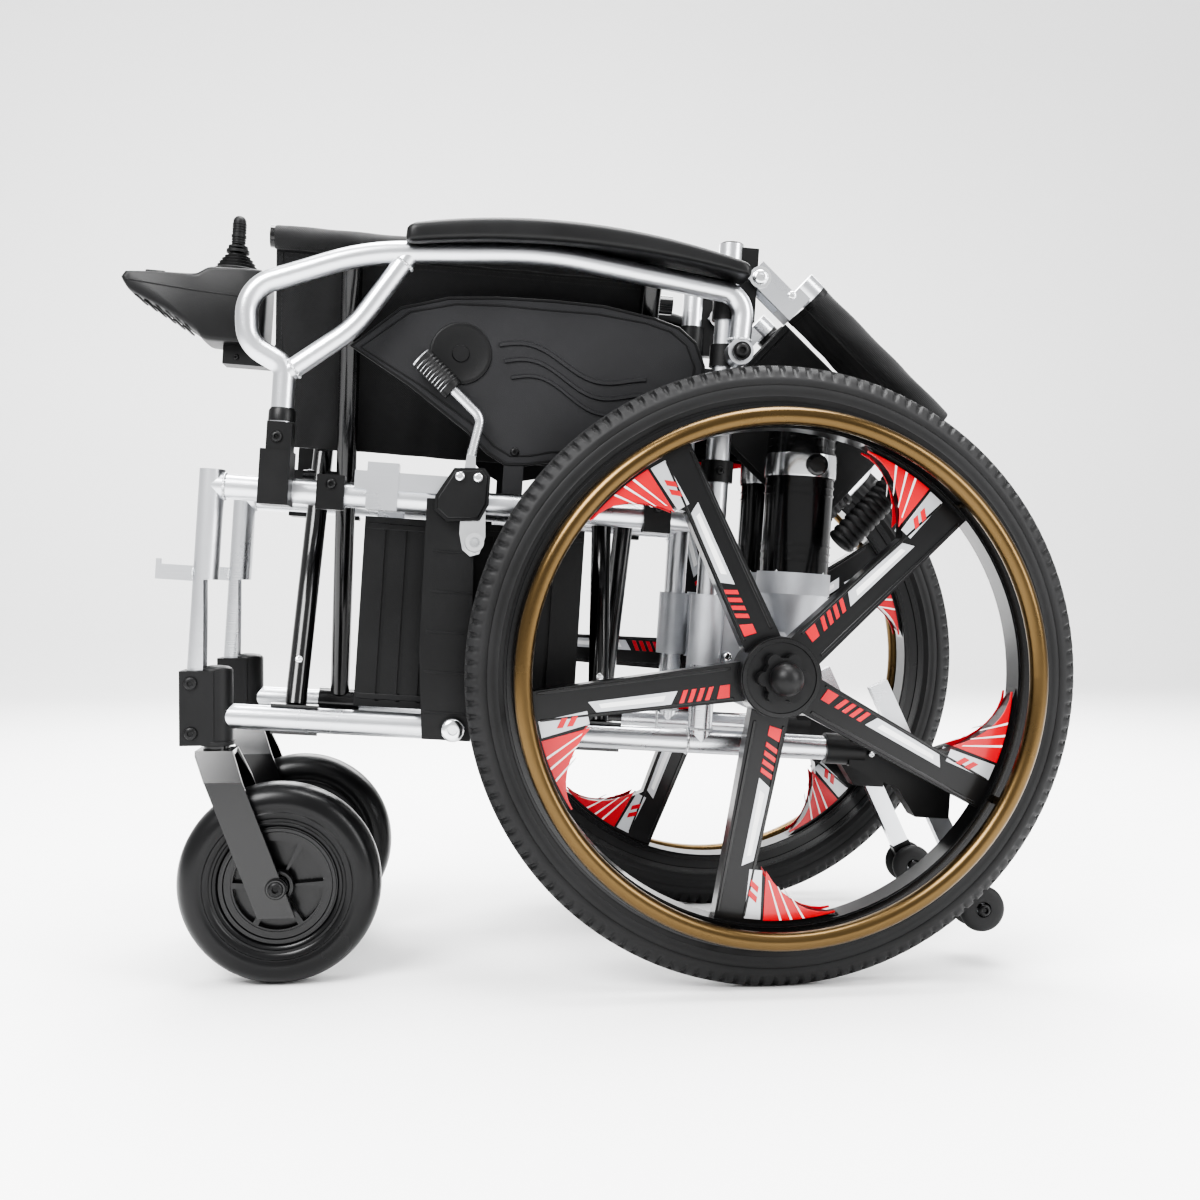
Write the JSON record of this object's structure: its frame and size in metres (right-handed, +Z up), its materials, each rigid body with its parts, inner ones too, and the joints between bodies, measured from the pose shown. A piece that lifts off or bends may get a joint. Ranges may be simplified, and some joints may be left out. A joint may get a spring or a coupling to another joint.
{
  "type": "power wheelchair",
  "caption": "Folding power wheelchair, folded flat: spoked drive wheels, casters, cross brace, flip-up armrests, fold-down back, joystick controller, brakes and anti-tip wheels.",
  "frame": {"origin": "on the floor under the middle of the folded chair's bounding box", "axes": "+X towards the rear of the chair, +Y towards its right side, +Z up"},
  "size_m": [0.9936, 0.466, 0.8218],
  "materials": {
    "frame_aluminium": "brushed and clear-coated tube",
    "cast_grey": "cast, bead-blasted",
    "black_plastic": "moulded, fine grain",
    "panel_plastic": "moulded, textured",
    "black_paint": "gloss powder coat",
    "tyre_rubber": "moulded rubber",
    "wheel_black": "satin",
    "rim_bronze": "anodised bronze",
    "pad_leather": "soft-touch moulded foam skin",
    "black_cloth": "woven nylon",
    "stick_rubber": "soft rubber"
  },
  "bodies": {
    "root": {"left_side_frame": "frame_aluminium", "left_caster_housing": "black_plastic", "left_motor": "black_paint", "left_gearbox": "cast_grey", "left_frame_clamps": "black_plastic", "left_side_panel": "panel_plastic", "left_brake_mount": "black_plastic", "left_antitip_bar": "frame_aluminium", "left_antitip_socket": "black_plastic", "battery": "black_plastic"},
    "brace_a": {"brace_a": "black_paint"},
    "brace_b": {"brace_b": "black_paint"},
    "right_frame": {"right_side_frame": "frame_aluminium", "right_caster_housing": "black_plastic", "right_motor": "black_paint", "right_gearbox": "cast_grey", "right_frame_clamps": "black_plastic", "right_side_panel": "panel_plastic", "right_brake_mount": "black_plastic", "right_antitip_bar": "frame_aluminium", "right_antitip_socket": "black_plastic"},
    "left_seat": {"left_seat_cloth": "black_cloth"},
    "right_seat": {"right_seat_cloth": "black_cloth"},
    "left_back": {"left_back_cane": "frame_aluminium", "left_push_grip": "stick_rubber", "left_back_cloth": "black_cloth"},
    "left_back_inner": {"left_back_cloth_inner": "black_cloth"},
    "left_wheel": {"left_drive_tyre": "tyre_rubber", "left_wheel_rim": "wheel_black", "left_hand_rim": "rim_bronze", "left_drive_axle": "black_plastic"},
    "left_caster": {"left_caster_fork": "black_paint"},
    "left_caster_wheel": {"left_caster_tyre": "tyre_rubber", "left_caster_hub": "black_plastic"},
    "left_armrest": {"left_armrest_tube": "frame_aluminium", "left_armrest_pad": "pad_leather"},
    "left_brake": {"left_brake_lever": "frame_aluminium"},
    "left_shoe": {"left_brake_shoe": "frame_aluminium"},
    "left_antitip": {"left_antitip_wheel": "tyre_rubber"},
    "right_back": {"right_back_cane": "frame_aluminium", "right_push_grip": "stick_rubber", "right_back_cloth": "black_cloth"},
    "right_back_inner": {"right_back_cloth_inner": "black_cloth"},
    "right_wheel": {"right_drive_tyre": "tyre_rubber", "right_wheel_rim": "wheel_black", "right_hand_rim": "rim_bronze", "right_drive_axle": "black_plastic"},
    "right_caster": {"right_caster_fork": "black_paint"},
    "right_caster_wheel": {"right_caster_tyre": "tyre_rubber", "right_caster_hub": "black_plastic"},
    "right_armrest": {"right_armrest_tube": "frame_aluminium", "right_armrest_pad": "pad_leather", "controller_case": "black_plastic", "joystick_boot": "stick_rubber"},
    "right_brake": {"right_brake_lever": "frame_aluminium"},
    "right_shoe": {"right_brake_shoe": "frame_aluminium"},
    "right_antitip": {"right_antitip_wheel": "tyre_rubber"},
    "gimbal": {"joystick_gimbal": "cast_grey"},
    "stick": {"joystick": "stick_rubber"}
  },
  "joints": [
    {"name": "fold", "type": "hinge", "parent": "root", "child": "brace_a", "pos_m": [0.18679, -0.1075, 0.23017], "axis": [-0.9978, 0, 0.0663], "range_deg": [0, 39.27]},
    {"name": "brace_cross", "type": "hinge", "parent": "brace_a", "child": "brace_b", "pos_m": [0.2032, 0, 0.4773], "axis": [-0.9978, 0, 0.0663], "range_deg": [-78.55, 0]},
    {"name": "right_frame_hinge", "type": "hinge", "parent": "brace_b", "child": "right_frame", "pos_m": [0.18679, 0.1075, 0.23017], "axis": [-0.9978, 0, 0.0663], "range_deg": [0, 39.28]},
    {"name": "left_seat_swing", "type": "hinge", "parent": "brace_b", "child": "left_seat", "pos_m": [0.21874, -0.08, 0.71132], "axis": [0.9978, 0, -0.0663], "range_deg": [0, 17.01]},
    {"name": "right_seat_swing", "type": "hinge", "parent": "brace_a", "child": "right_seat", "pos_m": [0.21874, 0.08, 0.71132], "axis": [-0.9978, 0, 0.0663], "range_deg": [0, 17.01]},
    {"name": "left_back_fold", "type": "hinge", "parent": "root", "child": "left_back", "pos_m": [0.18743, -0.1075, 0.70767], "axis": [0, -1, 0], "range_deg": [0, 130]},
    {"name": "left_back_cloth_swing", "type": "hinge", "parent": "left_back", "child": "left_back_inner", "pos_m": [0.20183, -0.01386, 0.72269], "axis": [0.7218, 0, -0.6921], "range_deg": [0, 77.36]},
    {"name": "left_wheel_spin", "type": "hinge", "parent": "root", "child": "left_wheel", "pos_m": [0.19176, -0.1705, 0.305], "axis": [0, -1, 0], "continuous": true},
    {"name": "left_caster_swivel", "type": "hinge", "parent": "root", "child": "left_caster", "pos_m": [-0.35624, -0.1075, 0.25], "axis": [0, 0, 1], "continuous": true},
    {"name": "left_caster_spin", "type": "hinge", "parent": "left_caster", "child": "left_caster_wheel", "pos_m": [-0.29524, -0.1075, 0.1], "axis": [0, -1, 0], "continuous": true},
    {"name": "left_armrest_flip", "type": "hinge", "parent": "root", "child": "left_armrest", "pos_m": [0.16208, -0.1355, 0.62768], "axis": [0, 1, 0], "range_deg": [0, 90]},
    {"name": "left_brake_throw", "type": "hinge", "parent": "root", "child": "left_brake", "pos_m": [-0.10862, -0.1285, 0.49032], "axis": [0, -1, 0], "range_deg": [0, 35]},
    {"name": "left_shoe_press", "type": "hinge", "parent": "root", "child": "left_shoe", "pos_m": [-0.1009, -0.125, 0.47076], "axis": [0, -1, 0], "range_deg": [0, 15.01]},
    {"name": "left_antitip_spin", "type": "hinge", "parent": "root", "child": "left_antitip", "pos_m": [0.42384, -0.1075, 0.05707], "axis": [0, -1, 0], "continuous": true},
    {"name": "right_back_fold", "type": "hinge", "parent": "right_frame", "child": "right_back", "pos_m": [0.18743, 0.1075, 0.70767], "axis": [0, -1, 0], "range_deg": [0, 130.01]},
    {"name": "right_back_cloth_swing", "type": "hinge", "parent": "right_back", "child": "right_back_inner", "pos_m": [0.20183, 0.01386, 0.72269], "axis": [-0.7218, 0, 0.6921], "range_deg": [0, 77.36]},
    {"name": "right_wheel_spin", "type": "hinge", "parent": "right_frame", "child": "right_wheel", "pos_m": [0.19176, 0.1705, 0.305], "axis": [0, -1, 0], "continuous": true},
    {"name": "right_caster_swivel", "type": "hinge", "parent": "right_frame", "child": "right_caster", "pos_m": [-0.35624, 0.1075, 0.25], "axis": [0, 0, 1], "continuous": true},
    {"name": "right_caster_spin", "type": "hinge", "parent": "right_caster", "child": "right_caster_wheel", "pos_m": [-0.29524, 0.1075, 0.1], "axis": [0, -1, 0], "continuous": true},
    {"name": "right_armrest_flip", "type": "hinge", "parent": "right_frame", "child": "right_armrest", "pos_m": [0.16208, 0.1355, 0.62768], "axis": [0, 1, 0], "range_deg": [0, 90]},
    {"name": "right_brake_throw", "type": "hinge", "parent": "right_frame", "child": "right_brake", "pos_m": [-0.10862, 0.1285, 0.49032], "axis": [0, -1, 0], "range_deg": [0, 35]},
    {"name": "right_shoe_press", "type": "hinge", "parent": "right_frame", "child": "right_shoe", "pos_m": [-0.1009, 0.125, 0.47076], "axis": [0, -1, 0], "range_deg": [0, 15.01]},
    {"name": "right_antitip_spin", "type": "hinge", "parent": "right_frame", "child": "right_antitip", "pos_m": [0.42384, 0.1075, 0.05707], "axis": [0, -1, 0], "continuous": true},
    {"name": "joystick_forward", "type": "hinge", "parent": "right_armrest", "child": "gimbal", "pos_m": [-0.37283, 0.1355, 0.7524], "axis": [0, -1, 0], "range_deg": [-15, 15], "stiffness_Nm_per_rad": 0.4},
    {"name": "joystick_turn", "type": "hinge", "parent": "gimbal", "child": "stick", "pos_m": [-0.37283, 0.1355, 0.7524], "axis": [0.9978, 0, -0.0663], "range_deg": [-15, 15], "stiffness_Nm_per_rad": 0.4}
  ],
  "couplings": [
    {"joint": "brace_cross", "follows": "fold", "ratio": -2},
    {"joint": "right_frame_hinge", "follows": "fold", "ratio": 1},
    {"joint": "left_seat_swing", "follows": "fold", "ratio": 0.43295},
    {"joint": "right_seat_swing", "follows": "fold", "ratio": 0.43295},
    {"joint": "left_back_cloth_swing", "follows": "fold", "ratio": 1.9696},
    {"joint": "left_shoe_press", "follows": "left_brake_throw", "ratio": 0.42857},
    {"joint": "right_back_fold", "follows": "left_back_fold", "ratio": 1},
    {"joint": "right_back_cloth_swing", "follows": "fold", "ratio": 1.9696},
    {"joint": "right_shoe_press", "follows": "right_brake_throw", "ratio": 0.42857}
  ]
}
